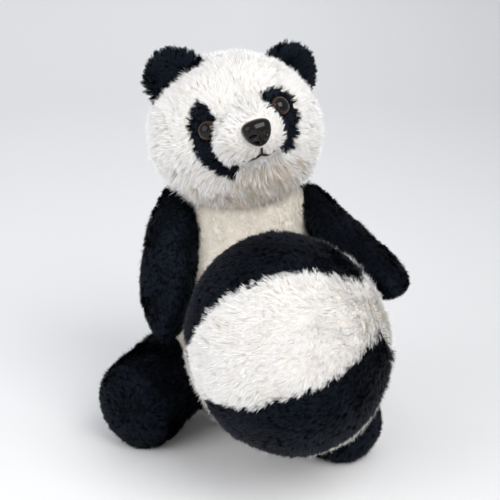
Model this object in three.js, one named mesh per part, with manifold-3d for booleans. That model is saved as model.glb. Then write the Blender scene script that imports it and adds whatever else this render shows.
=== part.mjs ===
// A sitting plush panda that hugs a plush ball. Millimetres, +Z up, the panda faces -Y.
// Left and right are as seen from the front. The floor is z = 0.
import * as THREE from "three";
import { mergeVertices } from "three/addons/utils/BufferGeometryUtils.js";
import Module from "manifold-3d";

const wasm = await Module();
wasm.setup();

// ---------- driving dimensions ----------
const CLOTH = 2.0;        // thickness of the pile cloth
const GAP = 0.4;          // space between neighbouring pieces
const TURNING_GAP = 1.6;  // space round the head and neck, which turn in their seats
const REACH = 400;        // longer than the whole toy, for cutting blocks

const HEAD_CENTRE = new THREE.Vector3(-12, -12, 244);
const HEAD_RADII = [66, 59, 59];      // round about the x axis, so that it can nod in its seat
const FACE_YAW = 11.5;     // degrees the face turns towards the right
const FACE_PITCH = 12;    // degrees it looks up
const FACE_ROLL = 15.6;   // degrees the right eye is lifted
const MUZZLE_CENTRE = [0, -58, -2];   // on the face: x to the right, -y out of it, z up
const MUZZLE_RADII = [26, 27, 22];
const MUZZLE_SEAM = [24, 22];         // half width and half height of the muzzle panel's edge
const MUZZLE_SEAM_SHIFT = -2;         // of its middle, towards the left eye
const NECK_HOLE = 24;
const NECK_RADIUS = 20;
const NECK_BOTTOM = 170;

const EYE_PLACE = [32.5, 11.5];       // x and z of the right eye on the face
const EYE_RADIUS = 8;
const EYE_DEPTH = 6.5;
const NOSE_HALF_WIDTH = 13;
const NOSE_HALF_HEIGHT = 10.5;
const NOSE_DEPTH = 8;
const NOSE_PLACE = [0.7, -0.5];       // x and z of its middle on the face
const STEM_RADIUS = 2.2;
const STEM_LENGTH = 12;
const WASHER_RADIUS = 6;
const EYE_WASHER_DEPTH = 4.6;         // of its front face under the pile cloth's outside
const NOSE_WASHER_DEPTH = 7;
const WASHER_THICKNESS = 1.6;
const STITCH_RADIUS = 0.9;
const STEM_HOLE_FRONT = -12;          // how far the stem's hole reaches out of the cloth
const STEM_HOLE_END = 7;              // and into the head

const EAR_RADII = [22.5, 6.5, 22];    // half width, half thickness, reach
const EAR_SEAM = 10;                  // of the face panels, behind the middle of the head
const EARS = {
  left: { centre: [-57, -19, 286], outward: [-0.64, 0.05, 0.77], facing: [-0.1, -1, 0] },
  right: { centre: [30, 8, 285], outward: [0.58, 0.5, 0.64], facing: [0.45, -0.85, 0] },
};

const TORSO = {
  path: [[0, -14, -6], [0, -16, 60], [-2, -14, 125], [-1, -11, 212]],
  girth: [[58, 52], [64, 61], [55, 50], [72, 38]],
  columns: 18,
  rows: 10,
  floor: 0,
};
const SIDE_SEAM = -16;                // y of the seams between belly and back
const SHOULDER_BOTTOM = 130;
const SEAT_TOP = 12;
const CENTRE_SEAM = -1;               // x of the seam down the middle of belly and back

// `pivot` is where an arm hangs from, and `lift` how far it swings up, in degrees about +Y.
const ARMS = {
  left: {
    path: [[-61, -10, 199], [-60, -32, 168], [-65, -50, 132], [-65, -76, 94]],
    girth: [[10, 12], [21.5, 21], [20.5, 20.5], [19, 19]],
    pivot: [-43, -12, 194],
    lift: 30,
    columns: 10,
    rows: 8,
  },
  right: {
    path: [[44, -8, 198], [62, -34, 173], [87, -64, 153], [114, -100, 142]],
    girth: [[10, 12], [17, 17], [18.5, 18.5], [19.5, 19.5]],
    pivot: [32, -8, 190],
    lift: -30,
    columns: 10,
    rows: 8,
  },
};

const LEGS = {
  left: {
    path: [[-46, 12, 42], [-63, -28, 43], [-99.5, -90, 30.5]],
    girth: [[36, 36], [33, 34], [42.5, 34]],
    columns: 12,
    rows: 8,
    fullness: 3.2,
    floor: 0,
  },
  right: {
    path: [[38, 4, 38], [54, -46, 33], [79, -118, 31]],
    girth: [[36, 36], [33, 33], [38, 34]],
    columns: 12,
    rows: 8,
    fullness: 3.2,
    floor: 0,
  },
};
const SOLE_DEPTH = 12;

const BALL_CENTRE = new THREE.Vector3(28, -158, 120);
const BALL_POLE = new THREE.Vector3(0.931, 0.027, 0.364).normalize();
const BALL_FRONT = new THREE.Vector3(-0.123, -0.9, 0.411);   // the middle of the first gore
const BALL_RADII = [80.5, 80.5, 72.5];   // round its pole, and along it
const BALL_CAP_RADIUS = 28;
const BALL_GORES = 6;

// ---------- solids ----------
const toSolid = (geometry) => {
  const bare = geometry.clone();
  bare.deleteAttribute("normal");
  bare.deleteAttribute("uv");
  const merged = mergeVertices(bare, 1e-4);
  const corners = merged.index.array;
  const kept = [];
  for (let i = 0; i < corners.length; i += 3) {
    const [a, b, c] = [corners[i], corners[i + 1], corners[i + 2]];
    if (a !== b && b !== c && c !== a) kept.push(a, b, c);
  }
  return new wasm.Manifold(new wasm.Mesh({
    numProp: 3,
    vertProperties: new Float32Array(merged.attributes.position.array),
    triVerts: new Uint32Array(kept),
  }));
};

const toGeometry = (solid) => {
  const mesh = solid.getMesh();
  const geometry = new THREE.BufferGeometry();
  geometry.setAttribute("position", new THREE.BufferAttribute(mesh.vertProperties, 3));
  geometry.setIndex(new THREE.BufferAttribute(mesh.triVerts, 1));
  const flat = geometry.toNonIndexed();
  flat.computeVertexNormals();
  return flat;
};

// A cut can leave a crumb behind, so only the biggest piece is kept.
const biggest = (solid) => solid.decompose().reduce(
  (best, piece) => (piece.volume() > best.volume() ? piece : best),
);
const all = (solids) => solids.reduce((sum, solid) => sum.add(solid));

// An ellipsoid whose poles lie along `pole`; `front` is where its first column sits. The last
// of its radii is along the pole.
const ellipsoid = (centre, radii, columns, rows, pole, front) => {
  const geometry = new THREE.SphereGeometry(1, columns, rows);
  const up = pole ?? new THREE.Vector3(0, 0, 1);
  const first = (front ?? new THREE.Vector3(-1, 0, 0)).clone().projectOnPlane(up).normalize();
  const third = new THREE.Vector3().crossVectors(first.clone().negate(), up);
  geometry.scale(radii[0], radii[2], radii[1]);
  geometry.applyMatrix4(new THREE.Matrix4().makeBasis(first.negate(), up, third));
  geometry.translate(centre.x, centre.y, centre.z);
  return toSolid(geometry);
};

const curveThrough = (points) => new THREE.CatmullRomCurve3(
  points.map(([x, y, z]) => new THREE.Vector3(x, y, z ?? 0)),
);

// A stuffed tube with round ends. `path` runs from tip to tip, `girth` gives its half width
// and half depth along the way, and `inset` shrinks it evenly. Nothing goes below `floor`.
const stuffedTube = ({ path, girth, columns, rows, fullness = 2.6, floor = -REACH }, inset = 0) => {
  const spine = curveThrough(path);
  const size = curveThrough(girth);
  const length = spine.getLength();
  const geometry = new THREE.SphereGeometry(1, columns, rows);
  const place = geometry.attributes.position;
  for (let i = 0; i < place.count; i += 1) {
    const height = THREE.MathUtils.clamp(place.getY(i), -1, 1);
    const ring = Math.hypot(place.getX(i), place.getZ(i));
    const reached = THREE.MathUtils.mapLinear(height, -1, 1, inset, length - inset);
    const along = THREE.MathUtils.clamp(reached / length, 0, 1);
    const forward = spine.getTangentAt(along);
    const centre = spine.getPointAt(along).addScaledVector(forward, reached - along * length);
    const wide = new THREE.Vector3().crossVectors(forward, new THREE.Vector3(0, 1, 0)).normalize();
    const deep = new THREE.Vector3().crossVectors(wide, forward);
    const full = (1 - Math.abs(height) ** fullness) ** (1 / fullness);
    const half = size.getPoint(along);
    const across = ring > 1e-6 ? place.getX(i) / ring : 0;
    const through = ring > 1e-6 ? place.getZ(i) / ring : 0;
    centre.addScaledVector(wide, -across * full * (half.x - inset));
    centre.addScaledVector(deep, -through * full * (half.y - inset));
    place.setXYZ(i, centre.x, centre.y, Math.max(centre.z, floor + inset));
  }
  return toSolid(geometry);
};

// Everything on the side of a plane that its normal points to, less half a seam gap.
const sideOf = (point, normal) => {
  const block = new THREE.BoxGeometry(REACH, REACH, REACH);
  block.translate(0, 0, REACH / 2 + GAP / 2);
  const turn = new THREE.Quaternion().setFromUnitVectors(
    new THREE.Vector3(0, 0, 1), normal.clone().normalize(),
  );
  block.applyQuaternion(turn);
  block.translate(point.x, point.y, point.z);
  return toSolid(block);
};

const at = (x, y, z) => new THREE.Vector3(x, y, z);
const X = at(1, 0, 0);
const Y = at(0, 1, 0);
const Z = at(0, 0, 1);
const flipped = (direction) => direction.clone().negate();

// ---------- face directions ----------
const rad = THREE.MathUtils.degToRad;
const faceTurn = new THREE.Matrix4()
  .makeRotationZ(rad(FACE_YAW))
  .multiply(new THREE.Matrix4().makeRotationX(-rad(FACE_PITCH)))
  .multiply(new THREE.Matrix4().makeRotationY(-rad(FACE_ROLL)));
const faceFrame = new THREE.Matrix4().makeTranslation(...HEAD_CENTRE.toArray()).multiply(faceTurn);
const onFace = (x, y, z) => at(x, y, z).applyMatrix4(faceFrame);
const faceDirection = (x, y, z) => at(x, y, z).transformDirection(faceTurn);

// A closed outline in the face's own x and z, pushed from depth `back` to depth `front`.
const facePrism = (outline, front, back) => {
  const shape = new THREE.Shape(outline.map(([x, z]) => new THREE.Vector2(x, z)));
  const geometry = new THREE.ExtrudeGeometry(shape, { depth: back - front, bevelEnabled: false });
  geometry.rotateX(Math.PI / 2);
  geometry.translate(0, back, 0);
  geometry.applyMatrix4(faceFrame);
  return toSolid(geometry);
};

const ovalOutline = (halfWidth, halfHeight, centreZ, points) => {
  const outline = [];
  for (let i = 0; i < points; i += 1) {
    const angle = (2 * Math.PI * i) / points;
    outline.push([halfWidth * Math.cos(angle), centreZ + halfHeight * Math.sin(angle)]);
  }
  return outline;
};

// ---------- head ----------
const headBall = (inset) => ellipsoid(HEAD_CENTRE, HEAD_RADII.map((r) => r - inset), 18, 12);
const muzzleBall = (inset) => {
  const shape = new THREE.SphereGeometry(1, 12, 8);
  shape.scale(...MUZZLE_RADII.map((r) => r - inset));
  shape.translate(...MUZZLE_CENTRE);
  shape.applyMatrix4(faceFrame);
  return toSolid(shape);
};
const headShape = (inset) => headBall(inset).add(muzzleBall(inset));

// The hollow on top of the torso, round about the neck, in which the head turns and nods.
const SEAT_RADIUS = HEAD_RADII[0] + TURNING_GAP;
const headSeat = ellipsoid(
  HEAD_CENTRE, [SEAT_RADIUS, SEAT_RADIUS, HEAD_RADII[2] + TURNING_GAP], 20, 14,
);

const neckPost = (radius, bottom, top) => {
  const post = new THREE.CylinderGeometry(radius, radius, top - bottom, 14);
  post.rotateX(Math.PI / 2);
  post.translate(HEAD_CENTRE.x, HEAD_CENTRE.y, (bottom + top) / 2);
  return toSolid(post);
};

// A frame with its origin on the cloth: -Y points out of it, and Z up the face.
const frameOnCloth = (origin, outward) => {
  const inward = flipped(outward);
  const side = new THREE.Vector3().crossVectors(inward, faceDirection(0, 0, 1)).normalize();
  const up = new THREE.Vector3().crossVectors(side, inward);
  return new THREE.Matrix4().makeBasis(side, inward, up).setPosition(origin);
};

const eyeFrame = (side) => {
  const guess = onFace(side * EYE_PLACE[0], -HEAD_RADII[1], EYE_PLACE[1]).sub(HEAD_CENTRE);
  const reach = Math.hypot(...guess.toArray().map((value, axis) => value / HEAD_RADII[axis]));
  const onSkull = guess.divideScalar(reach);
  const outward = at(...onSkull.toArray().map((value, axis) => value / HEAD_RADII[axis] ** 2));
  return frameOnCloth(onSkull.clone().add(HEAD_CENTRE), outward.normalize());
};
const noseFrame = frameOnCloth(
  onFace(NOSE_PLACE[0], MUZZLE_CENTRE[1] - MUZZLE_RADII[1], NOSE_PLACE[1]), faceDirection(0, -1, 0),
);

const placed = (geometry, frame) => toSolid(geometry.applyMatrix4(frame));
const spun = (profile, sides) => new THREE.LatheGeometry(
  profile.map(([x, y]) => new THREE.Vector2(x, y)), sides,
);
const stem = [[STEM_RADIUS, STEM_LENGTH], [0, STEM_LENGTH]];
const DOME_STEP = rad(28);            // between the rings of an eye's dome
const eyeShape = (frame) => {
  const dome = [[0, -EYE_DEPTH]];
  for (let step = 1; step <= 3; step += 1) {
    const angle = step * DOME_STEP;
    dome.push([EYE_RADIUS * Math.sin(angle), -EYE_DEPTH * Math.cos(angle)]);
  }
  const back = [[EYE_RADIUS, -GAP], [STEM_RADIUS, -GAP]];
  return placed(spun([...dome, ...back, ...stem], 12), frame);
};
const washerShape = (frame, near) => {
  const [inner, far] = [STEM_RADIUS + GAP, near + WASHER_THICKNESS];
  const ring = [[inner, near], [WASHER_RADIUS, near], [WASHER_RADIUS, far], [inner, far], [inner, near]];
  return placed(spun(ring, 10), frame);
};
const NOSE_TAPER = { middle: 0.88, rise: 0.2 };   // the nose is wider at its top
const noseShape = (frame) => {
  const dome = new THREE.SphereGeometry(1, 14, 8);
  const place = dome.attributes.position;
  for (let i = 0; i < place.count; i += 1) {
    const height = place.getY(i);
    const taper = NOSE_TAPER.middle + NOSE_TAPER.rise * height;
    place.setXYZ(
      i,
      place.getX(i) * NOSE_HALF_WIDTH * taper,
      Math.min(-place.getZ(i) * NOSE_DEPTH, -GAP),
      height * NOSE_HALF_HEIGHT,
    );
  }
  const inDome = -NOSE_DEPTH / 3;
  const post = spun([[0, inDome], [STEM_RADIUS, inDome], ...stem], 8);
  return placed(dome, frame).add(placed(post, frame));
};
// The stem's way through the cloth, and the room in front of it that a dome takes up.
const stemHole = (frame, domeRadius) => {
  const [hole, room] = [STEM_RADIUS + GAP, domeRadius + GAP];
  const [front, end] = [STEM_HOLE_FRONT, STEM_HOLE_END];
  const outline = [[0, front], [room, front], [room, 0], [hole, 0], [hole, end], [0, end]];
  return placed(spun(outline, 12), frame);
};
const washerPocket = (frame) => {
  const [radius, end] = [WASHER_RADIUS + GAP, STEM_LENGTH + GAP];
  return placed(spun([[0, 0], [radius, 0], [radius, end], [0, end]], 10), frame);
};
const washerPockets = all([eyeFrame(-1), eyeFrame(1), noseFrame].map(washerPocket));
const stemHoles = all([
  stemHole(eyeFrame(-1), EYE_RADIUS),
  stemHole(eyeFrame(1), EYE_RADIUS),
  stemHole(noseFrame, STEM_RADIUS),
]);

// The eye patches' outlines, as x and z on the face. The right one is the lower at its top.
const PATCHES = {
  left: [
    [-25, 33], [-33, 28], [-40.5, 15], [-41, 0], [-36.5, -14], [-28, -25], [-18, -30],
    [-14, -24], [-15, -10], [-17, 8], [-20, 24],
  ],
  right: [
    [23, 25], [33, 24], [41, 14], [41, 0], [35, -12], [28, -21], [20, -22],
    [15, -12], [14, 0], [15, 12], [18, 22],
  ],
};
const PATCH_MIDDLE = [34, 2];
const PATCH_BACK = -10;      // y on the face behind which the patch's prism ends
const MUZZLE_BACK = -30;
const patchPrism = (side, grow) => {
  const outline = PATCHES[side < 0 ? "left" : "right"].map(([x, z]) => {
    const away = new THREE.Vector2(x - side * PATCH_MIDDLE[0], z - PATCH_MIDDLE[1]).normalize();
    return [x + away.x * grow, z + away.y * grow];
  });
  return facePrism(side < 0 ? outline.reverse() : outline, -REACH / 4, PATCH_BACK);
};
const muzzlePrism = (grow) => {
  const [halfWidth, halfHeight] = MUZZLE_SEAM.map((half) => half + grow);
  const outline = ovalOutline(halfWidth, halfHeight, MUZZLE_CENTRE[2], 14)
    .map(([x, z]) => [x + MUZZLE_SEAM_SHIFT, z]);
  return facePrism(outline, -REACH / 4, MUZZLE_BACK);
};

const headSkin = headShape(0)
  .subtract(headShape(CLOTH))
  .subtract(neckPost(NECK_HOLE, NECK_BOTTOM, HEAD_CENTRE.z - NECK_RADIUS))
  .subtract(stemHoles);
const muzzlePanel = headSkin.intersect(muzzlePrism(0));
const faceCloth = headSkin.subtract(muzzlePrism(GAP));
const headWhite = faceCloth.subtract(patchPrism(-1, GAP)).subtract(patchPrism(1, GAP));
const earLine = HEAD_CENTRE.clone().add(at(0, EAR_SEAM, 0));
const headSide = (side) => sideOf(HEAD_CENTRE, at(side, 0, 0));
const headStuffing = headShape(CLOTH + GAP).subtract(washerPockets);

const strand = (points) => {
  const path = new THREE.CatmullRomCurve3(points.map(([x, z]) => {
    const [centre, radii] = [MUZZLE_CENTRE, MUZZLE_RADII.map((r) => r + STITCH_RADIUS + GAP)];
    const out = Math.sqrt(1 - (x / radii[0]) ** 2 - ((z - centre[2]) / radii[2]) ** 2);
    return onFace(x, centre[1] - radii[1] * out, z);
  }));
  const thread = new THREE.Shape();
  thread.absarc(0, 0, STITCH_RADIUS, 0, 2 * Math.PI, false);
  const settings = { steps: 4, curveSegments: 3, extrudePath: path, bevelEnabled: false };
  return toSolid(new THREE.ExtrudeGeometry(thread, settings));
};
const mouth = all([
  strand([[0.7, -12.3], [0.4, -14.2], [0, -16.5]]),
  strand([[1, -16], [-5, -18.5], [-11, -19.5], [-16, -18]]),
  strand([[-1, -16], [5, -19], [11, -18]]),
]);

const earShape = ({ centre, outward, facing }, side) => {
  const out = at(...outward).normalize();
  const across = new THREE.Vector3().crossVectors(out, at(...facing)).normalize();
  const front = new THREE.Vector3().crossVectors(across, out);
  const geometry = new THREE.SphereGeometry(1, 14, 8);
  geometry.scale(EAR_RADII[0], EAR_RADII[2], EAR_RADII[1]);
  geometry.applyMatrix4(new THREE.Matrix4().makeBasis(across, out, front));
  geometry.translate(...centre);
  const half = sideOf(at(...centre), front.multiplyScalar(side));
  return biggest(toSolid(geometry).intersect(half).subtract(headBall(-GAP)));
};

// ---------- torso ----------
const torsoGrown = stuffedTube(TORSO, -GAP);
const neckPocket = neckPost(NECK_RADIUS + TURNING_GAP, NECK_BOTTOM - GAP, HEAD_CENTRE.z);
const torsoSkin = stuffedTube(TORSO).subtract(stuffedTube(TORSO, CLOTH)).subtract(headSeat);
const torsoStuffing = stuffedTube(TORSO, CLOTH + GAP).subtract(headSeat).subtract(neckPocket);
const neckStuffing = neckPost(NECK_RADIUS, NECK_BOTTOM, HEAD_CENTRE.z).subtract(headBall(-TURNING_GAP));
const inFront = sideOf(at(0, SIDE_SEAM, 0), flipped(Y));
const behind = sideOf(at(0, SIDE_SEAM, 0), Y);
const leftHalf = sideOf(at(CENTRE_SEAM, 0, 0), flipped(X));
const rightHalf = sideOf(at(CENTRE_SEAM, 0, 0), X);
const aboveSeat = sideOf(at(0, 0, SEAT_TOP), Z);
const aboveShoulderSeam = sideOf(at(0, 0, SHOULDER_BOTTOM), Z);
const belowShoulderSeam = sideOf(at(0, 0, SHOULDER_BOTTOM), flipped(Z));

// ---------- limbs ----------
const directionOf = (limb) => at(...limb.path.at(-1)).sub(at(...limb.path[0])).normalize();

// Everything an arm has to stay clear of: the torso, and the head all the way up its swing.
const armRoom = ({ pivot, lift }) => {
  const hinge = at(...pivot);
  const seats = [0, 0.25, 0.5, 0.75, 1].map((part) => {
    const swing = new THREE.Matrix4().makeTranslation(...pivot)
      .multiply(new THREE.Matrix4().makeRotationY(rad(-lift * part)))
      .multiply(new THREE.Matrix4().makeTranslation(...flipped(hinge).toArray()));
    return headSeat.transform(swing.elements);
  });
  return all([torsoGrown, sideOf(hinge, at(-pivot[0], 0, 0)), ...seats]);
};

const arm = (limb) => {
  const trim = armRoom(limb);
  const bend = at(...limb.path[2]).sub(at(...limb.path[0]));
  const seamNormal = new THREE.Vector3().crossVectors(directionOf(limb), bend).normalize();
  if (seamNormal.x * limb.path[3][0] < 0) seamNormal.negate();
  const skin = stuffedTube(limb).subtract(stuffedTube(limb, CLOTH)).subtract(trim);
  const seam = at(...limb.path[1]);
  return {
    outer: biggest(skin.intersect(sideOf(seam, seamNormal))),
    inner: biggest(skin.intersect(sideOf(seam, flipped(seamNormal)))),
    stuffing: stuffedTube(limb, CLOTH + GAP).subtract(trim),
  };
};

const leg = (limb) => {
  const direction = directionOf(limb);
  const tip = at(...limb.path.at(-1));
  const sideways = new THREE.Vector3().crossVectors(direction, Z).normalize();
  if (sideways.x * tip.x < 0) sideways.negate();
  const skin = stuffedTube(limb).subtract(stuffedTube(limb, CLOTH)).subtract(torsoGrown);
  const soleSeam = tip.clone().addScaledVector(direction, -SOLE_DEPTH);
  const tube = skin.intersect(sideOf(soleSeam, flipped(direction)));
  return {
    outer: tube.intersect(sideOf(tip, sideways)),
    inner: tube.intersect(sideOf(tip, flipped(sideways))),
    sole: skin.intersect(sideOf(soleSeam, direction)),
    stuffing: stuffedTube(limb, CLOTH + GAP).subtract(torsoGrown),
  };
};

// ---------- ball ----------
const ballShape = (inset) => {
  const radii = BALL_RADII.map((r) => r - inset);
  return ellipsoid(BALL_CENTRE, radii, 18, 10, BALL_POLE, BALL_FRONT);
};
const ballSkin = ballShape(0).subtract(ballShape(CLOTH));
const poleTurn = new THREE.Quaternion().setFromUnitVectors(Y, BALL_POLE);
const polePost = (radius, from, to) => {
  const post = new THREE.CylinderGeometry(radius, radius, to - from, 12);
  post.translate(0, (from + to) / 2, 0);
  post.applyQuaternion(poleTurn);
  post.translate(...BALL_CENTRE.toArray());
  return toSolid(post);
};
const goreCloth = ballSkin.subtract(polePost(BALL_CAP_RADIUS + GAP, -REACH / 2, REACH / 2));
const gore = (index) => {
  const halfWidth = Math.PI / BALL_GORES;
  const middle = index * 2 * halfWidth;
  const edge = (angle, facing) => {
    const along = BALL_FRONT.clone().projectOnPlane(BALL_POLE).applyAxisAngle(BALL_POLE, angle);
    return new THREE.Vector3().crossVectors(BALL_POLE, along).multiplyScalar(facing);
  };
  return goreCloth
    .intersect(sideOf(BALL_CENTRE, edge(middle - halfWidth, 1)))
    .intersect(sideOf(BALL_CENTRE, edge(middle + halfWidth, -1)));
};

// ---------- the toy ----------
const WHITE = { color: 0xf2f0ee, roughness: 0.95, metalness: 0 };
const CREAM = { color: 0xe6e0d4, roughness: 0.95, metalness: 0 };
const BLACK = { color: 0x0e131c, roughness: 0.85, metalness: 0 };
const FILLING = { color: 0xf7f7f5, roughness: 1, metalness: 0 };
const GLOSSY_BROWN = { color: 0x2a120a, roughness: 0.12, metalness: 0 };
const GLOSSY_BLACK = { color: 0x120c0c, roughness: 0.18, metalness: 0 };
const WASHER_WHITE = { color: 0xe8e8e6, roughness: 0.4, metalness: 0 };

const toy = new THREE.Group();
toy.name = "plush_panda";
const put = (name, solid, look) => {
  const mesh = new THREE.Mesh(toGeometry(solid), new THREE.MeshStandardMaterial(look));
  mesh.name = name;
  toy.add(mesh);
};

const frontOfEars = sideOf(earLine, flipped(Y));
const behindEars = sideOf(earLine, Y);
for (const [name, side] of [["left", -1], ["right", 1]]) {
  const half = headWhite.intersect(headSide(side));
  put(`face_${name}`, biggest(half.intersect(frontOfEars)), WHITE);
  put(`head_back_${name}`, half.intersect(behindEars), WHITE);
  put(`eye_patch_${name}`, biggest(faceCloth.intersect(patchPrism(side, 0))), BLACK);
  put(`eye_${name}`, eyeShape(eyeFrame(side)), GLOSSY_BROWN);
  put(`eye_washer_${name}`, washerShape(eyeFrame(side), EYE_WASHER_DEPTH), WASHER_WHITE);
  put(`ear_${name}_front`, earShape(EARS[name], 1), BLACK);
  put(`ear_${name}_back`, earShape(EARS[name], -1), BLACK);
}
put("muzzle", muzzlePanel, WHITE);
put("nose", noseShape(noseFrame), GLOSSY_BLACK);
put("nose_washer", washerShape(noseFrame, NOSE_WASHER_DEPTH), WASHER_WHITE);
put("mouth_stitching", mouth, BLACK);
put("head_stuffing", headStuffing, FILLING);
put("neck_stuffing", neckStuffing, FILLING);

const belly = torsoSkin.intersect(inFront).intersect(aboveSeat);
const back = torsoSkin.intersect(behind).intersect(aboveSeat);
put("belly_left", belly.intersect(leftHalf), CREAM);
put("belly_right", belly.intersect(rightHalf), CREAM);
put("shoulder_band", back.intersect(aboveShoulderSeam), BLACK);
put("back_left", back.intersect(belowShoulderSeam).intersect(leftHalf), WHITE);
put("back_right", back.intersect(belowShoulderSeam).intersect(rightHalf), WHITE);
put("seat", torsoSkin.intersect(sideOf(at(0, 0, SEAT_TOP), flipped(Z))), WHITE);
put("torso_stuffing", torsoStuffing, FILLING);

for (const name of ["left", "right"]) {
  const armPieces = arm(ARMS[name]);
  put(`arm_${name}_outer`, armPieces.outer, BLACK);
  put(`arm_${name}_inner`, armPieces.inner, BLACK);
  put(`arm_${name}_stuffing`, armPieces.stuffing, FILLING);
  const legPieces = leg(LEGS[name]);
  put(`leg_${name}_outer`, legPieces.outer, BLACK);
  put(`leg_${name}_inner`, legPieces.inner, BLACK);
  put(`sole_${name}`, legPieces.sole, BLACK);
  put(`leg_${name}_stuffing`, legPieces.stuffing, FILLING);
}

for (let index = 0; index < BALL_GORES; index += 1) {
  put(`ball_gore_${index + 1}`, gore(index), index % 2 === 0 ? WHITE : BLACK);
}
put("ball_cap_left", ballSkin.intersect(polePost(BALL_CAP_RADIUS, -REACH / 2, 0)), WHITE);
put("ball_cap_right", ballSkin.intersect(polePost(BALL_CAP_RADIUS, 0, REACH / 2)), WHITE);
put("ball_stuffing", ballShape(CLOTH + GAP), FILLING);

export default toy;
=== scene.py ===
"""The looks of the sitting plush panda with its ball: sewn panels of pile cloth with real pile."""
import math

import bmesh
import bpy
import numpy as np
from mathutils import Matrix, Vector, noise


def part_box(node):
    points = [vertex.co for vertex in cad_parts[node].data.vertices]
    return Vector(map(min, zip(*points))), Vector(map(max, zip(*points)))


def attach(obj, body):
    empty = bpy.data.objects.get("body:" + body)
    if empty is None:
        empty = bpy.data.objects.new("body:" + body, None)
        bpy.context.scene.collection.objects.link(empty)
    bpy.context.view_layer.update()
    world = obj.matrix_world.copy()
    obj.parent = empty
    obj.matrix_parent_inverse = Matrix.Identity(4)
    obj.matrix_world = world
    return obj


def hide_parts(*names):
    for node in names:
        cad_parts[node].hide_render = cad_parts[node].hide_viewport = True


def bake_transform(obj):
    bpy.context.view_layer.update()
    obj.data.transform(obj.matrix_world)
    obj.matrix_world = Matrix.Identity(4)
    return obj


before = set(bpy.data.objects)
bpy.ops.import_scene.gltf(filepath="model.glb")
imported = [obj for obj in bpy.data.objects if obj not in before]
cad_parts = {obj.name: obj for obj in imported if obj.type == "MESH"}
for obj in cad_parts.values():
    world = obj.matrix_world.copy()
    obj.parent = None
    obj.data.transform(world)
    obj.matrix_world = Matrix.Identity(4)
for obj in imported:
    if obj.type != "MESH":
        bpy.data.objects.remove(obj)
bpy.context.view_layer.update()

MM = 0.001
CLOTH = 1.6          # thickness of the pile's backing, in millimetres, as every length here is

# ---------- shapes, as in the part's source ----------
HEAD_CENTRE = np.array([-12.0, -12.0, 244.0])
HEAD_RADII = np.array([66.0, 59.0, 59.0])
FACE_YAW, FACE_PITCH, FACE_ROLL = 11.5, 12.0, 15.6
MUZZLE_CENTRE = np.array([0.0, -58.0, -2.0])
MUZZLE_RADII = np.array([26.0, 27.0, 22.0])
MUZZLE_SEAM = (24.0, 22.0)
MUZZLE_SEAM_SHIFT = -2.0
EYE_PLACE = (32.5, 11.5)
EYE_RADIUS, EYE_DEPTH = 8.0, 6.5
NOSE_PLACE = (0.7, -0.5)
MOUTH = [
    [(0.7, -11.5), (0.4, -14.2), (0, -16.5)],
    [(1, -16), (-5, -18.5), (-11, -19.5), (-16, -18)],
    [(-1, -16), (5, -19), (11, -18)],
]
PATCHES = {
    -1: [
        (-25, 33), (-33, 28), (-40.5, 15), (-41, 0), (-36.5, -14), (-28, -25), (-18, -30),
        (-14, -24), (-15, -10), (-17, 8), (-20, 24),
    ],
    1: [
        (23, 25), (33, 24), (41, 14), (41, 0), (35, -12), (28, -21), (20, -22),
        (15, -12), (14, 0), (15, 12), (18, 22),
    ],
}
BACK_SEAM = 10.0
EAR_RADII = (22.5, 6.5, 22.0)
EARS = {
    "left": ((-57, -19, 286), (-0.64, 0.05, 0.77), (-0.1, -1, 0)),
    "right": ((30, 8, 285), (0.58, 0.5, 0.64), (0.45, -0.85, 0)),
}
TORSO = dict(
    path=[(0, -14, -6), (0, -16, 60), (-2, -14, 125), (-1, -11, 212)],
    girth=[(58, 52), (64, 61), (55, 50), (72, 38)], fullness=2.6, floor=0,
)
ARMS = {
    "left": dict(
        path=[(-61, -10, 199), (-60, -32, 168), (-65, -50, 132), (-65, -76, 94)],
        girth=[(10, 12), (21.5, 21), (20.5, 20.5), (19, 19)], fullness=2.6, floor=-400,
    ),
    "right": dict(
        path=[(44, -8, 198), (62, -34, 173), (87, -64, 153), (114, -100, 142)],
        girth=[(10, 12), (17, 17), (18.5, 18.5), (19.5, 19.5)], fullness=2.6, floor=-400,
    ),
}
LEGS = {
    "left": dict(
        path=[(-46, 12, 42), (-63, -28, 43), (-99.5, -90, 30.5)],
        girth=[(36, 36), (33, 34), (42.5, 34)], fullness=3.2, floor=0,
    ),
    "right": dict(
        path=[(38, 4, 38), (54, -46, 33), (79, -118, 31)],
        girth=[(36, 36), (33, 33), (38, 34)], fullness=3.2, floor=0,
    ),
}
SIDE_SEAM, SHOULDER_BOTTOM, SEAT_TOP, CENTRE_SEAM = -16, 130, 12, -1
SOLE_DEPTH = 12
BALL_CENTRE = np.array([28.0, -158.0, 120.0])
BALL_POLE = np.array([0.931, 0.027, 0.364])
BALL_FRONT = np.array([-0.123, -0.9, 0.411])
BALL_RADII = (80.5, 80.5, 72.5)
BALL_CAP_RADIUS = 28.0
BALL_GORES = 6
NOSE_SIZE = (13.2, 8.5, 10.2)   # half width, depth and half height


def unit(v):
    v = np.asarray(v, float)
    return v / np.maximum(np.linalg.norm(v, axis=-1, keepdims=True), 1e-9)


def turn(axis, degrees):
    return np.array(Matrix.Rotation(math.radians(degrees), 3, axis))


FACE_TURN = turn("Z", FACE_YAW) @ turn("X", -FACE_PITCH) @ turn("Y", -FACE_ROLL)


def on_face(local):
    """From the face's own frame, X to the right and Z up the face, to the toy's."""
    return np.asarray(local, float) @ FACE_TURN.T + HEAD_CENTRE


def face_local(points):
    return (points - HEAD_CENTRE) @ FACE_TURN


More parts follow.
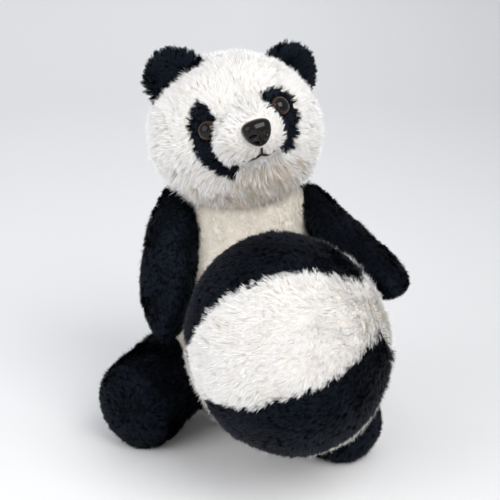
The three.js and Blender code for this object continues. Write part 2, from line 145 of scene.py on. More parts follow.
# ---------- curves and surfaces ----------
def catmull_rom(points, t):
    """Points at the shares t of a centripetal Catmull-Rom curve through points."""
    p = np.array(points, float)
    p = np.vstack([2 * p[0] - p[1], p, 2 * p[-1] - p[-2]])
    spans = len(p) - 3
    where = np.clip(np.asarray(t, float), 0, 1) * spans
    index = np.minimum(where.astype(int), spans - 1)
    w = (where - index)[:, None]
    a, b, c, d = (p[index + k] for k in range(4))
    step = [np.sqrt(np.linalg.norm(y - x, axis=1, keepdims=True)) + 1e-9 for x, y in ((a, b), (b, c), (c, d))]
    into = ((b - a) / step[0] - (c - a) / (step[0] + step[1]) + (c - b) / step[1]) * step[1]
    out = ((c - b) / step[1] - (d - b) / (step[1] + step[2]) + (d - c) / step[2]) * step[1]
    return (
        b + into * w
        + (-3 * b + 3 * c - 2 * into - out) * w**2
        + (2 * b - 2 * c + into + out) * w**3
    )


class Spine:
    """A limb's middle line, by distance along it."""

    def __init__(self, path):
        self.share = np.linspace(0, 1, 201)
        self.line = catmull_rom(path, self.share)
        run = np.linalg.norm(np.diff(self.line, axis=0), axis=1)
        self.run = np.concatenate([[0], np.cumsum(run)])
        self.length = self.run[-1]

    def at(self, along):
        place = np.stack([np.interp(along, self.run, self.line[:, k]) for k in range(3)], 1)
        near, far = np.clip(along - 1, 0, self.length), np.clip(along + 1, 0, self.length)
        ends = [np.stack([np.interp(x, self.run, self.line[:, k]) for k in range(3)], 1) for x in (near, far)]
        return place, unit(ends[1] - ends[0])

    def nearest(self, points):
        """The line's direction beside each point."""
        found = np.empty(len(points), int)
        for first in range(0, len(points), 4000):
            part = points[first:first + 4000]
            found[first:first + 4000] = np.linalg.norm(part[:, None] - self.line[None], axis=2).argmin(1)
        return self.at(self.run[found])[1]


def sphere_directions(level):
    bm = bmesh.new()
    bmesh.ops.create_icosphere(bm, subdivisions=level, radius=1)
    bm.verts.ensure_lookup_table()
    points = np.array([v.co for v in bm.verts])
    faces = np.array([[v.index for v in f.verts] for f in bm.faces])
    bm.free()
    return unit(points), faces


SPHERES = {level: sphere_directions(level) for level in (5, 6, 7)}


def tube_surface(limb, directions, grow=0.0):
    """A stuffed tube with round ends along a limb's path, flat where it sits on the floor."""
    spine = Spine(limb["path"])
    height = np.clip(directions[:, 1], -1, 1)
    ring = np.hypot(directions[:, 0], directions[:, 2])
    reached = (height + 1) / 2 * (spine.length + 2 * grow) - grow
    along = np.clip(reached, 0, spine.length)
    centre, forward = spine.at(along)
    centre = centre + forward * (reached - along)[:, None]
    wide = unit(np.cross(forward, [0, 1, 0]))
    deep = np.cross(wide, forward)
    f = limb["fullness"]
    full = (1 - np.abs(height) ** f) ** (1 / f)
    half = catmull_rom([(*g, 0) for g in limb["girth"]], along / spine.length)
    across = directions[:, 0] / np.maximum(ring, 1e-6)
    through = directions[:, 2] / np.maximum(ring, 1e-6)
    points = (
        centre
        - wide * (across * full * (half[:, 0] + grow))[:, None]
        - deep * (through * full * (half[:, 1] + grow))[:, None]
    )
    points[:, 2] = np.maximum(points[:, 2], limb["floor"] - grow if limb["floor"] >= 0 else -400)
    return points


def head_surface(directions):
    """The skull and the muzzle, run together softly, by how far each direction reaches."""
    low = np.full(len(directions), 30.0)
    high = np.full(len(directions), 110.0)
    for _ in range(24):
        reach = (low + high) / 2
        points = HEAD_CENTRE + directions * reach[:, None]
        skull = (np.linalg.norm((points - HEAD_CENTRE) / HEAD_RADII, axis=1) - 1) * 60
        nose = (np.linalg.norm((face_local(points) - MUZZLE_CENTRE) / MUZZLE_RADII, axis=1) - 1) * 24
        mix = np.clip(0.5 + (nose - skull) / 12, 0, 1)
        inside = nose * (1 - mix) + skull * mix - 6 * mix * (1 - mix) < 0
        low, high = np.where(inside, reach, low), np.where(inside, high, reach)
    return HEAD_CENTRE + directions * low[:, None]


def ball_basis():
    """The ball's front, its side and its pole."""
    up = unit(BALL_POLE)
    front = unit(BALL_FRONT - up * (BALL_FRONT @ up))
    return front, np.cross(up, front), up


def ball_surface(directions):
    """An ellipsoid whose seams pull in a little."""
    front, side, up = ball_basis()
    gores = np.arctan2(directions[:, 1], directions[:, 0]) / (2 * math.pi / BALL_GORES)
    radius = BALL_RADII[0] * np.hypot(directions[:, 0], directions[:, 1])
    from_seam = (0.5 - np.abs(gores - np.round(gores))) * 2 * math.pi / BALL_GORES * radius
    pull = 1 - 0.022 * np.exp(-((from_seam / 6) ** 2)) * np.clip(radius / BALL_CAP_RADIUS - 0.8, 0, 1)
    pull = pull - 0.02 * np.exp(-(((radius - BALL_CAP_RADIUS) / 5) ** 2))
    ball = BALL_RADII[0] * (directions[:, :1] * front + directions[:, 1:2] * side)
    return BALL_CENTRE + (ball + BALL_RADII[2] * directions[:, 2:] * up) * pull[:, None]


def ear_surface(ear, directions):
    """A flat cushion, a little bowled."""
    centre, outward, facing = (np.array(x, float) for x in ear)
    out = unit(outward)
    across = unit(np.cross(out, facing))
    front = np.cross(across, out)
    bowl = 2.2 * (directions[:, :1] ** 2 + 0.5 * directions[:, 1:2] ** 2)
    flat = EAR_RADII[0] * directions[:, :1] * across + EAR_RADII[2] * directions[:, 1:2] * out
    return centre + flat + (EAR_RADII[1] * directions[:, 2:] + bowl) * front


class Form:
    """A stuffed shape: fine surface points, triangles and outward normals."""

    def __init__(self, points, faces):
        corner = points[faces]
        across = np.cross(corner[:, 1] - corner[:, 0], corner[:, 2] - corner[:, 0])
        middle = points.mean(0)
        if (across * (corner.mean(1) - middle)).sum() < 0:
            faces, across = faces[:, ::-1], -across
        normals = np.zeros_like(points)
        for k in range(3):
            np.add.at(normals, faces[:, k], across)
        self.points, self.faces, self.normals = points, faces, unit(normals)
        self.area = np.linalg.norm(across, axis=1) / 2
        self.centres = points[faces].mean(1)

    def scatter(self, per_mm2, keep, seed):
        """Random places on the faces where keep holds, about per_mm2 to a square millimetre."""
        draw = np.random.default_rng(seed)
        count = int(self.area.sum() * per_mm2)
        chosen = draw.choice(len(self.faces), count, p=self.area / self.area.sum())
        a, b = np.sort(draw.random((2, count)), axis=0)
        weights = np.stack([a, b - a, 1 - b], 1)[:, :, None]
        place = (self.points[self.faces[chosen]] * weights).sum(1)
        normal = unit((self.normals[self.faces[chosen]] * weights).sum(1))
        kept = keep(place)
        return place[kept], normal[kept]


# ---------- meshes ----------
def new_object(name, points, faces, materials, face_material=None, facing=None):
    """A mesh object from points in millimetres. faces is a list of arrays of 3 or 4 corners, and
    facing the direction in which each point is shaded, if not its own."""
    mesh = bpy.data.meshes.new(name)
    faces = [np.asarray(f, np.int32) for f in faces if len(f)]
    sizes = np.concatenate([np.full(len(f), f.shape[1], np.int32) for f in faces])
    corners = np.concatenate([f.ravel() for f in faces])
    mesh.vertices.add(len(points))
    mesh.vertices.foreach_set("co", (np.asarray(points) * MM).astype(np.float32).ravel())
    mesh.loops.add(len(corners))
    mesh.loops.foreach_set("vertex_index", corners)
    mesh.polygons.add(len(sizes))
    mesh.polygons.foreach_set("loop_start", np.concatenate([[0], np.cumsum(sizes)[:-1]]).astype(np.int32))
    mesh.polygons.foreach_set("loop_total", sizes)
    for material in materials:
        mesh.materials.append(material)
    if face_material is not None:
        mesh.polygons.foreach_set("material_index", np.asarray(face_material, np.int32))
    mesh.update(calc_edges=True)
    mesh.validate()
    mesh.polygons.foreach_set("use_smooth", np.full(len(sizes), True))
    if facing is not None:
        mesh.normals_split_custom_set_from_vertices(facing)
    made = bpy.data.objects.new(name, mesh)
    bpy.context.scene.collection.objects.link(made)
    return made


def cloth_panel(name, form, keep, material, bump):
    """The panel's backing: the form's faces where keep holds, as a closed skin of even thickness."""
    chosen = form.faces[keep(form.centres)]
    used, corners = np.unique(chosen, return_inverse=True)
    corners = corners.reshape(chosen.shape)
    points, normals = form.points[used], form.normals[used]
    ripple = np.array([noise.noise(Vector(p) * 0.09) for p in points]) * bump
    outer = points + normals * (ripple - 0.3)[:, None]
    inner = points - normals * CLOTH
    edges = np.concatenate([corners[:, [0, 1]], corners[:, [1, 2]], corners[:, [2, 0]]])
    keys = edges[:, 0] * len(used) + edges[:, 1]
    rim = edges[~np.isin(keys, edges[:, 1] * len(used) + edges[:, 0])]
    n = len(used)
    wall = np.stack([rim[:, 1], rim[:, 0], rim[:, 0] + n, rim[:, 1] + n], 1)
    return new_object(name, np.vstack([outer, inner]), [corners, corners[:, ::-1] + n, wall], [material])


def swirl_field(points, scale, seed):
    """Smooth random angles over the surface, for the way the pile is brushed."""
    shift = Vector((seed * 13.7, seed * 7.1, seed * 3.3))
    return np.array([noise.noise(Vector(p) * scale + shift) for p in points])


class Pile:
    """How a cloth's pile looks. Its length, the tufts' spread and the strands' width are in
    millimetres, lean and swirl in degrees, and tufts is how many grow on a square millimetre.
    gather is how far a tuft's tips close up, and stray the share of strands that stand out of it."""

    def __init__(self, tones, length, lean, tufts, strands, spread, width,
                 gather=0.35, swirl=42, twist=0.25, relief=0.15, stray=0.06):
        self.tones, self.length, self.lean = tones, length, lean
        self.tufts, self.strands, self.spread = tufts, strands, spread
        self.width, self.gather, self.swirl = width, gather, swirl
        self.twist, self.relief, self.stray = twist, relief, stray


def pile(name, form, keep, comb, look, seed, length=None, shade=None):
    """The pile of one panel as real strands in tufts. length and shade say, for points on the
    cloth, how much longer and how much lighter the pile is there."""
    roots, normals = form.scatter(look.tufts, keep, seed)
    draw = np.random.default_rng(seed + 5000)
    n, k = len(roots), look.strands
    flow = comb(roots)
    flow = unit(flow - normals * (flow * normals).sum(1, keepdims=True))
    side = np.cross(normals, flow)
    angle = np.radians(look.swirl) * (2.2 * swirl_field(roots, 0.045, 1) + draw.normal(0, 0.25, n))
    flow, side = (
        flow * np.cos(angle)[:, None] + side * np.sin(angle)[:, None],
        side * np.cos(angle)[:, None] - flow * np.sin(angle)[:, None],
    )
    reach = look.length * draw.uniform(0.8, 1.2, n) * (1 + 0.3 * swirl_field(roots, 0.08, 9))
    if length is not None:
        reach = reach * length(roots)
    lean = np.radians(look.lean * (1 + 0.35 * swirl_field(roots, 0.07, 3)) + draw.normal(0, 6, n))
    lean = np.clip(lean, 0.05, 1.28)
    tuft_tip = roots + reach[:, None] * (normals * np.cos(lean)[:, None] + flow * np.sin(lean)[:, None])

    def each(x):
        return np.repeat(x, k, axis=0)

    around = draw.uniform(0, 2 * math.pi, n * k)
    away = look.spread * np.sqrt(draw.random(n * k))
    offset = (each(flow) * np.cos(around)[:, None] + each(side) * np.sin(around)[:, None]) * away[:, None]
    base = each(roots) + offset - each(normals) * 0.5
    own = draw.normal(0, 0.22, n * k)
    own_lean = each(lean) + draw.normal(0, 0.14, n * k)
    stray = draw.random(n * k) < look.stray
    own_lean = np.where(stray, own_lean * 0.5, np.minimum(own_lean, 1.4))
    direction = each(flow) + each(side) * own[:, None]
    long = each(reach) * draw.uniform(0.7, 1.08, n * k)
    tip = base + long[:, None] * (
        each(normals) * np.cos(own_lean)[:, None] + unit(direction) * np.sin(own_lean)[:, None]
    )
    gather = np.where(stray, 0, look.gather)[:, None]
    tip = tip * (1 - gather) + (each(tuft_tip) + offset * 0.25) * gather
    tip = tip + draw.normal(0, 0.18, (n * k, 3))
    middle = base + each(normals) * (long * 0.22)[:, None] + (tip - base) * 0.35
    # a strand is a tapered ribbon; lying strands are shaded like the cloth, and stray ones like themselves
    across = unit(np.cross(tip - base, each(normals) + draw.normal(0, look.twist, (n * k, 3))))
    flat = unit(np.cross(across, tip - base))
    facing = each(normals) + (flat + offset / look.spread) * look.relief
    facing = unit(np.where(stray[:, None], flat + each(normals) * 0.3, facing))
    width = look.width * draw.uniform(0.7, 1.25, n * k)
    levels = []
    for t, share in ((0.0, 0.9), (0.42, 1.0), (0.76, 0.66)):
        spot = base * (1 - t) ** 2 + middle * 2 * t * (1 - t) + tip * t**2
        half = across * (width * share / 2)[:, None]
        levels += [spot - half, spot + half]
    levels.append(tip)
    points = np.stack(levels, 1)
    points[:, :, 2] = np.maximum(points[:, :, 2], 0.25)
    first = np.arange(n * k)[:, None] * 7
    lower = first + [0, 1, 3, 2]
    upper = first + [2, 3, 5, 4]
    ends = first + [4, 5, 6]
    # the first tone is for roots, and the rest run from dark to light
    tones = len(look.tones) - 1
    patch = swirl_field(roots, 0.12, 17) + draw.normal(0, 0.25, n)
    # shade moves the tones darker or lighter; on the face it is painted shade
    patch = patch + (0.62 if shade is None else shade(roots))
    tone = each(np.clip(((patch + 0.7) / 1.4 * tones).astype(int), 0, tones - 1))
    odd = draw.random(n * k) < 0.25
    tone = np.where(odd, draw.integers(tones // 2, tones, n * k), tone) + 1
    slots = np.concatenate([np.zeros(n * k, int), tone, tone])
    return new_object(
        name, points.reshape(-1, 3), [lower, upper, ends], look.tones, slots, np.repeat(facing, 7, axis=0),
    )


# ---------- materials ----------
def shader(name, colour, roughness, **more):
    material = bpy.data.materials.new(name)
    material.use_nodes = True
    inputs = material.node_tree.nodes["Principled BSDF"].inputs
    inputs["Base Color"].default_value = (*colour, 1)
    inputs["Roughness"].default_value = roughness
    for key, value in more.items():
        socket = inputs[key.replace("_", " ")]
        socket.default_value = (*value, 1) if isinstance(value, tuple) else value
    return material


def speckled(material, first, second, scale, detail=4.0, bump=0.3, bump_scale=1.0):
    """Colour that varies between first and second, with bumps of the same kind."""
    nodes, links = material.node_tree.nodes, material.node_tree.links
    body = nodes["Principled BSDF"]
    place = nodes.new("ShaderNodeTexCoord")
    cloud = nodes.new("ShaderNodeTexNoise")
    cloud.inputs["Scale"].default_value = scale
    cloud.inputs["Detail"].default_value = detail
    ramp = nodes.new("ShaderNodeValToRGB")
    ramp.color_ramp.elements[0].position = 0.3
    ramp.color_ramp.elements[1].position = 0.7
    ramp.color_ramp.elements[0].color = (*first, 1)
    ramp.color_ramp.elements[1].color = (*second, 1)
    fine = nodes.new("ShaderNodeTexNoise")
    fine.inputs["Scale"].default_value = scale * 6 * bump_scale
    raised = nodes.new("ShaderNodeBump")
    raised.inputs["Strength"].default_value = bump
    raised.inputs["Distance"].default_value = 0.0006
    links.new(place.outputs["Object"], cloud.inputs["Vector"])
    links.new(place.outputs["Object"], fine.inputs["Vector"])
    links.new(cloud.outputs["Fac"], ramp.inputs["Fac"])
    links.new(ramp.outputs["Color"], body.inputs["Base Color"])
    links.new(fine.outputs["Fac"], raised.inputs["Height"])
    links.new(raised.outputs["Normal"], body.inputs["Normal"])
    return material


# tones a and b, darker and warmer, are painted shade under the chin and low on the front of the head; elsewhere
# they turn up only in rare random patches
WHITE_TONES = [
    shader("white_pile_root", (0.87, 0.83, 0.775), 0.9, Specular_IOR_Level=0.1),
    shader("white_pile_a", (0.71, 0.62, 0.52), 0.85, Specular_IOR_Level=0.15),
    shader("white_pile_b", (0.81, 0.75, 0.68), 0.85, Specular_IOR_Level=0.15),
    shader("white_pile_c", (0.90, 0.88, 0.855), 0.85, Specular_IOR_Level=0.15),
    shader("white_pile_d", (0.925, 0.915, 0.90), 0.85, Specular_IOR_Level=0.15),
    shader("white_pile_e", (0.935, 0.93, 0.92), 0.85, Specular_IOR_Level=0.15),
]
CREAM_TONES = [
    shader("cream_pile_root", (0.74, 0.67, 0.57), 0.9, Specular_IOR_Level=0.1),
    shader("cream_pile_a", (0.80, 0.75, 0.67), 0.85, Specular_IOR_Level=0.15),
    shader("cream_pile_b", (0.83, 0.785, 0.71), 0.85, Specular_IOR_Level=0.15),
    shader("cream_pile_c", (0.86, 0.82, 0.75), 0.85, Specular_IOR_Level=0.15),
]
NAVY = (0.55, 0.70, 1.0)
BLACK_TONES = [
    shader("black_pile_root", (0.0006, 0.0010, 0.0022), 0.9, Specular_IOR_Level=0.08, Specular_Tint=NAVY),
    shader("black_pile_a", (0.0008, 0.0012, 0.0024), 0.6, Specular_IOR_Level=0.15, Specular_Tint=NAVY),
    shader("black_pile_b", (0.0014, 0.0020, 0.0038), 0.55, Specular_IOR_Level=0.19, Specular_Tint=NAVY),
    shader("black_pile_c", (0.0024, 0.0036, 0.0066), 0.55, Specular_IOR_Level=0.24, Specular_Tint=NAVY),
]
white_cloth = speckled(
    shader("white_backing", (0.8, 0.77, 0.73), 0.95), (0.80, 0.76, 0.70), (0.90, 0.87, 0.83), 260,
)
cream_cloth = speckled(
    shader("cream_backing", (0.7, 0.65, 0.57), 0.95), (0.70, 0.64, 0.55), (0.80, 0.75, 0.67), 300,
)
black_cloth = speckled(
    shader("black_backing", (0.002, 0.003, 0.004), 0.9, Specular_IOR_Level=0.1),
    (0.001, 0.0015, 0.0025), (0.003, 0.004, 0.007), 300,
)
fibre_fill = speckled(
    shader("fibre_fill", (0.9, 0.9, 0.9), 0.95), (0.84, 0.84, 0.83), (0.93, 0.93, 0.92), 180, bump=0.7,
)
washer_plastic = speckled(
    shader("washer_plastic", (0.8, 0.8, 0.79), 0.4), (0.76, 0.76, 0.74), (0.82, 0.82, 0.81), 400, bump=0.1,
)

LONG_WHITE = Pile(
    WHITE_TONES, length=6.8, lean=62, tufts=0.255, strands=12, spread=1.9, width=0.29,
    gather=0.45, twist=0.2, relief=0.1, stray=0.12,
)
BALL_WHITE = Pile(
    WHITE_TONES, length=6.0, lean=66, tufts=0.25, strands=12, spread=2.0, width=0.28,
    gather=0.32, swirl=22, twist=0.15, relief=0.06, stray=0.07,
)
MUZZLE_WHITE = Pile(
    WHITE_TONES, length=7.0, lean=58, tufts=0.34, strands=12, spread=1.4, width=0.30,
    gather=0.5, stray=0.10,
)
SHORT_CREAM = Pile(
    CREAM_TONES, length=3.0, lean=66, tufts=0.22, strands=9, spread=1.7, width=0.38,
    gather=0.2, swirl=30,
)
LIMB_BLACK = Pile(
    BLACK_TONES, length=4.8, lean=63, tufts=0.21, strands=12, spread=1.7, width=0.32,
    gather=0.4, swirl=50, relief=0.3, stray=0.08,
)
BALL_BLACK = Pile(
    BLACK_TONES, length=5.0, lean=66, tufts=0.22, strands=12, spread=1.7, width=0.31,
    gather=0.4, swirl=30, relief=0.3,
)
PATCH_BLACK = Pile(
    BLACK_TONES, length=4.6, lean=60, tufts=0.36, strands=12, spread=1.3, width=0.28,
    gather=0.5, relief=0.3, stray=0.1,
)
EAR_BLACK = Pile(
    BLACK_TONES, length=6.8, lean=54, tufts=0.34, strands=12, spread=1.4, width=0.30,
    gather=0.65, swirl=70, relief=0.3,
)
# each kind of cloth: its slot and its backing
KINDS = {
    "white": ("white_pile", white_cloth),
    "cream": ("cream_pile", cream_cloth),
    "black": ("black_pile", black_cloth),
}


def panel(node, form, keep, comb, look, kind, body, seed,
          length=None, blended=None, bare=None, shade=None):
    """One sewn panel: its backing, which stands for the CAD node, and its pile, except where it is bare."""
    slot, backing = KINDS[kind]
    cloth = cloth_panel(f"{node}_cloth", form, keep, backing, 0.5)
    grows = keep if bare is None else lambda p: keep(p) & ~bare(p)
    fur = pile(f"{node}_pile", form, grows, comb, look, seed, length, shade)
    for piece in (cloth, fur):
        if blended:
            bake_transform(piece)
        else:
            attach(piece, body)
    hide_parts(node)
    return cloth, fur


def plane_side(point, normal):
    """How far points are on the normal's side of a plane."""
    point, normal = np.array(point, float), unit(normal)
    return lambda p: (p - point) @ normal


# ---------- head ----------
def in_polygon(x, z, outline):
    inside = np.zeros(len(x), bool)
    for (x0, z0), (x1, z1) in zip(outline, outline[1:] + outline[:1]):
        crosses = ((z0 > z) != (z1 > z)) & (x < (x1 - x0) * (z - z0) / (z1 - z0 + 1e-12) + x0)
        inside ^= crosses
    return inside


def on_muzzle(p):
    q = face_local(p)
    x, z = (q[:, 0] - MUZZLE_SEAM_SHIFT) / MUZZLE_SEAM[0], (q[:, 2] - MUZZLE_CENTRE[2]) / MUZZLE_SEAM[1]
    return (x**2 + z**2 < 1) & (q[:, 1] < -30)


def on_patch(side):
    outline = PATCHES[side]

    def keep(p):
        q = face_local(p)
        return in_polygon(q[:, 0], q[:, 2], outline) & (q[:, 1] < -10) & ~on_muzzle(p)
    return keep


on_left_patch, on_right_patch = on_patch(-1), on_patch(1)
NOSE_TIP = on_face([NOSE_PLACE[0], MUZZLE_CENTRE[1] - MUZZLE_RADII[1], NOSE_PLACE[1]])


def head_comb(p):
    """Away from the nose, and a little down on the cheeks and chin."""
    flow = unit(p - NOSE_TIP)
    low = np.clip((HEAD_CENTRE[2] + 10 - p[:, 2]) / 50, 0, 1)
    return flow + np.array([0, 0, -0.7]) * low[:, None]


def is_head_white(p, side, behind):
    white = ~(on_muzzle(p) | on_left_patch(p) | on_right_patch(p))
    half = (p[:, 0] - HEAD_CENTRE[0]) * side > 0
    return white & half & ((p[:, 1] > HEAD_CENTRE[1] + BACK_SEAM) == behind)


def lathe(profile, sides):
    """Points and faces of a profile of radius and height, turned about the y axis."""
    profile = np.array(profile, float)
    angles = np.linspace(0, 2 * math.pi, sides, endpoint=False)
    ring = np.stack([np.cos(angles), np.sin(angles)], 1)
    points = np.concatenate([
        np.stack([r * ring[:, 0], np.full(sides, y), r * ring[:, 1]], 1) for r, y in profile
    ])
    a = np.arange(sides)
    b = (a + 1) % sides
    faces = [np.stack([i * sides + a, i * sides + b, (i + 1) * sides + b, (i + 1) * sides + a], 1)
             for i in range(len(profile) - 1)]
    return points, np.concatenate(faces)


def cloth_frame(origin, outward):
    """A frame on the cloth: -Y points out of it, and Z up the face."""
    side = unit(np.cross(-outward, FACE_TURN @ [0, 0, 1]))
    up = np.cross(side, -outward)
    return np.stack([side, -outward, up], 1), origin


def place_fitting(piece, turned, origin, node, slot):
    """Puts a fitting, made about its own origin, where the part has it."""
    piece.matrix_world = Matrix.LocRotScale(Vector(origin * MM), Matrix(turned.tolist()), None)
    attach(piece, "head")
    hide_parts(node)


def eye_frame(side):
    guess = on_face([side * EYE_PLACE[0], -HEAD_RADII[1], EYE_PLACE[1]]) - HEAD_CENTRE
    guess = guess / np.linalg.norm(guess / HEAD_RADII)
    return cloth_frame(HEAD_CENTRE + guess, unit(guess / HEAD_RADII**2))


EYES = {-1: eye_frame(-1), 1: eye_frame(1)}
NOSE = cloth_frame(NOSE_TIP, FACE_TURN @ [0, -1, 0])


def from_mouth(p):
    """How far each point is from the mouth's stitches, across the face."""
    q = face_local(p)[:, [0, 2]]
    line = np.concatenate([catmull_rom([(*c, 0) for c in part], np.linspace(0, 1, 25))[:, :2] for part in MOUTH])
    away = np.linalg.norm(q[:, None] - line[None], axis=2).min(1)
    return np.where(face_local(p)[:, 1] < -30, away, 99)


def nose_outline(height):
    """The nose's half width at a share of its half height."""
    return NOSE_SIZE[0] * np.sqrt(np.clip(1 - np.abs(height) ** 2.6, 0, 1)) * (0.80 + 0.27 * height)


def under_fitting(p):
    """Where an eye or the nose sits on the cloth."""
    under = np.zeros(len(p), bool)
    for turned, origin in EYES.values():
        q = (p - origin) @ turned
        under |= (np.hypot(q[:, 0], q[:, 2]) < EYE_RADIUS + 0.2) & (np.abs(q[:, 1]) < 12)
    q = (p - NOSE[1]) @ NOSE[0]
    within = np.abs(q[:, 0]) < nose_outline(q[:, 2] / NOSE_SIZE[2]) - 0.5
    return under | (within & (np.abs(q[:, 2]) < NOSE_SIZE[2]) & (np.abs(q[:, 1]) < 12))


head = Form(head_surface(SPHERES[7][0]), SPHERES[7][1])


def face_length(p):
    """Short by the nose and very short at the mouth, and fuller on the cheeks."""
    q = face_local(p)
    from_nose = np.hypot((q[:, 0] - NOSE_PLACE[0]) / 1.15, q[:, 2] - NOSE_PLACE[1])
    near = np.clip(0.4 + (from_nose - 10) / 14, 0.35, 1)
    near = np.where(q[:, 1] < -30, near, 1)
    cheek = 1 + 0.45 * np.clip((HEAD_CENTRE[2] + 5 - p[:, 2]) / 40, 0, 1)
    right = 1 - 0.35 * (on_muzzle(p) & (q[:, 0] > 8))
    return near * cheek * right * np.clip((from_mouth(p) + 0.2) / 5, 0.18, 1)


def painted_face_shade(p):
    """Painted shade, warm like bounced light: warmer and darker under the chin and darker low on the front of the
    head; lighter on the forehead.
    """
    q = face_local(p)
    # painted shade under the chin and low on the front, where the face is in shade
    chin = np.exp(-(((q[:, 0] - 4) / 34) ** 2) - ((q[:, 2] + 38) / 17) ** 2) * (q[:, 1] < 0)
    low = np.clip((HEAD_CENTRE[2] - 5 - p[:, 2]) / 45, 0, 1)
    return 0.7 - 1.2 * chin - 0.5 * low * (q[:, 1] < 0)


def patch_length(p):
    """Shorter round the eyes."""
    away = np.min([np.linalg.norm(p - origin, axis=1) for _, origin in EYES.values()], axis=0)
    return np.clip((away - 5) / 10, 0.45, 1.1)


for index, (name, side) in enumerate((("left", -1), ("right", 1))):
    for seed, part, behind in ((10, "face", False), (20, "head_back", True)):
        panel(
            f"{part}_{name}", head, lambda p, s=side, b=behind: is_head_white(p, s, b), head_comb,
            LONG_WHITE, "white", "head", seed + index,
            length=face_length, bare=under_fitting, shade=painted_face_shade,
        )
    panel(
        f"eye_patch_{name}", head, on_left_patch if side < 0 else on_right_patch, head_comb,
        PATCH_BLACK, "black", "head", 30 + index, length=patch_length, bare=under_fitting,
    )
panel(
    "muzzle", head, on_muzzle, head_comb, MUZZLE_WHITE, "white", "head", 40,
    length=face_length, bare=under_fitting, shade=painted_face_shade,
)

for index, name in enumerate(("left", "right")):
    ear = Form(ear_surface(EARS[name], SPHERES[5][0]), SPHERES[5][1])
    centre, outward, facing = (np.array(x, float) for x in EARS[name])
    front = np.cross(unit(np.cross(unit(outward), facing)), unit(outward))
    ahead = plane_side(centre, front)
    outside = lambda p: np.linalg.norm((p - HEAD_CENTRE) / (HEAD_RADII - 2), axis=1) > 1
    comb = lambda p, c=centre, o=unit(outward): unit(p - c) * 0.6 + o
    panel(
        f"ear_{name}_front", ear, lambda p, a=ahead: (a(p) > 0) & outside(p), comb,
        EAR_BLACK, "black", "head", 50 + index,
    )
    panel(
        f"ear_{name}_back", ear, lambda p, a=ahead: (a(p) <= 0) & outside(p), comb,
        EAR_BLACK, "black", "head", 60 + index,
    )


# ---------- eyes, nose and mouth ----------
def ringed(material, stops, radius):
    """Colour by distance from the y axis of the piece, as (share of radius, colour)."""
    nodes, links = material.node_tree.nodes, material.node_tree.links
    place = nodes.new("ShaderNodeTexCoord")
    flat = nodes.new("ShaderNodeVectorMath")
    flat.operation = "MULTIPLY"
    flat.inputs[1].default_value = (1 / (radius * MM), 0, 1 / (radius * MM))
    length = nodes.new("ShaderNodeVectorMath")
    length.operation = "LENGTH"
    ramp = nodes.new("ShaderNodeValToRGB")
    for share, colour in stops[1:-1]:
        ramp.color_ramp.elements.new(share)
    for element, (share, colour) in zip(ramp.color_ramp.elements, stops):
        element.position, element.color = share, (*colour, 1)
    links.new(place.outputs["Object"], flat.inputs[0])
    links.new(flat.outputs[0], length.inputs[0])
    links.new(length.outputs["Value"], ramp.inputs["Fac"])
    links.new(ramp.outputs["Color"], nodes["Principled BSDF"].inputs["Base Color"])
    return material


STEM = [(2.2, 12.0), (0.01, 12.0)]
eye_plastic = ringed(
    shader("eye_plastic", (0.02, 0.01, 0.005), 0.04, Specular_IOR_Level=0.3),
    [(0.0, (0.001, 0.001, 0.001)), (0.62, (0.002, 0.001, 0.001)), (0.68, (0.018, 0.008, 0.005)),
     (0.82, (0.045, 0.019, 0.012)), (0.93, (0.02, 0.009, 0.006)), (1.0, (0.004, 0.002, 0.002))],
    EYE_RADIUS,
)
for name, side in (("left", -1), ("right", 1)):
    angles = np.linspace(0.001, math.pi / 2, 20)
    dome = [(EYE_RADIUS * math.sin(a), -EYE_DEPTH * math.cos(a) - 0.3) for a in angles]
    points, faces = lathe([*dome, (EYE_RADIUS - 0.4, 0.1), (2.2, 0.1), *STEM], 56)
    eye = new_object(f"eye_{name}_dome", points, [faces], [eye_plastic])
    place_fitting(eye, *EYES[side], f"eye_{name}", "eye_plastic")
    points, faces = lathe([(2.6, 4.6), (6, 4.6), (6, 6.2), (2.6, 6.2), (2.6, 4.6)], 48)
    washer = new_object(f"eye_washer_{name}_ring", points, [faces], [washer_plastic])
    place_fitting(washer, *EYES[side], f"eye_washer_{name}", "washer_plastic")


def nose_mesh():
    """A rounded triangle, wider at the top, with two nostrils and a groove down to the mouth."""
    directions, faces = SPHERES[6]
    x, out, z = directions[:, 0], -directions[:, 1], directions[:, 2]
    width = NOSE_SIZE[0] * (0.80 + 0.27 * z)
    square = np.sign(z) * np.abs(z) ** 0.85
    x = np.sign(x) * np.abs(x) ** 0.85
    points = np.stack([x * width, -np.abs(out) ** 0.7 * NOSE_SIZE[1] * (1 + 0.12 * z), square * NOSE_SIZE[2]], 1)
    points[out < 0, 1] = 0.6
    depth = np.clip(out, 0, 1)
    groove = np.exp(-((points[:, 0] / 0.9) ** 2)) * np.clip((1.5 - points[:, 2]) / 6, 0, 1) * 1.8
    nostrils = sum(
        np.exp(-((points[:, 0] - s * 5.2) / 2.6) ** 2 - ((points[:, 2] + 2.4) / 1.7) ** 2) for s in (-1, 1)
    ) * 2.0
    points[:, 1] += (groove + nostrils) * depth
    return points, faces[:, ::-1]


nose_plastic = speckled(
    shader("nose_plastic", (0.0025, 0.0018, 0.0018), 0.10, Specular_IOR_Level=0.28),
    (0.001, 0.001, 0.001), (0.006, 0.004, 0.003), 350, bump=0.12, bump_scale=0.4,
)
points, faces = nose_mesh()
place_fitting(new_object("nose_button", points, [faces], [nose_plastic]), *NOSE, "nose", "nose_plastic")
points, faces = lathe([(2.6, 7), (6, 7), (6, 8.6), (2.6, 8.6), (2.6, 7)], 48)
washer = new_object("nose_washer_ring", points, [faces], [washer_plastic])
place_fitting(washer, *NOSE, "nose_washer", "washer_plastic")


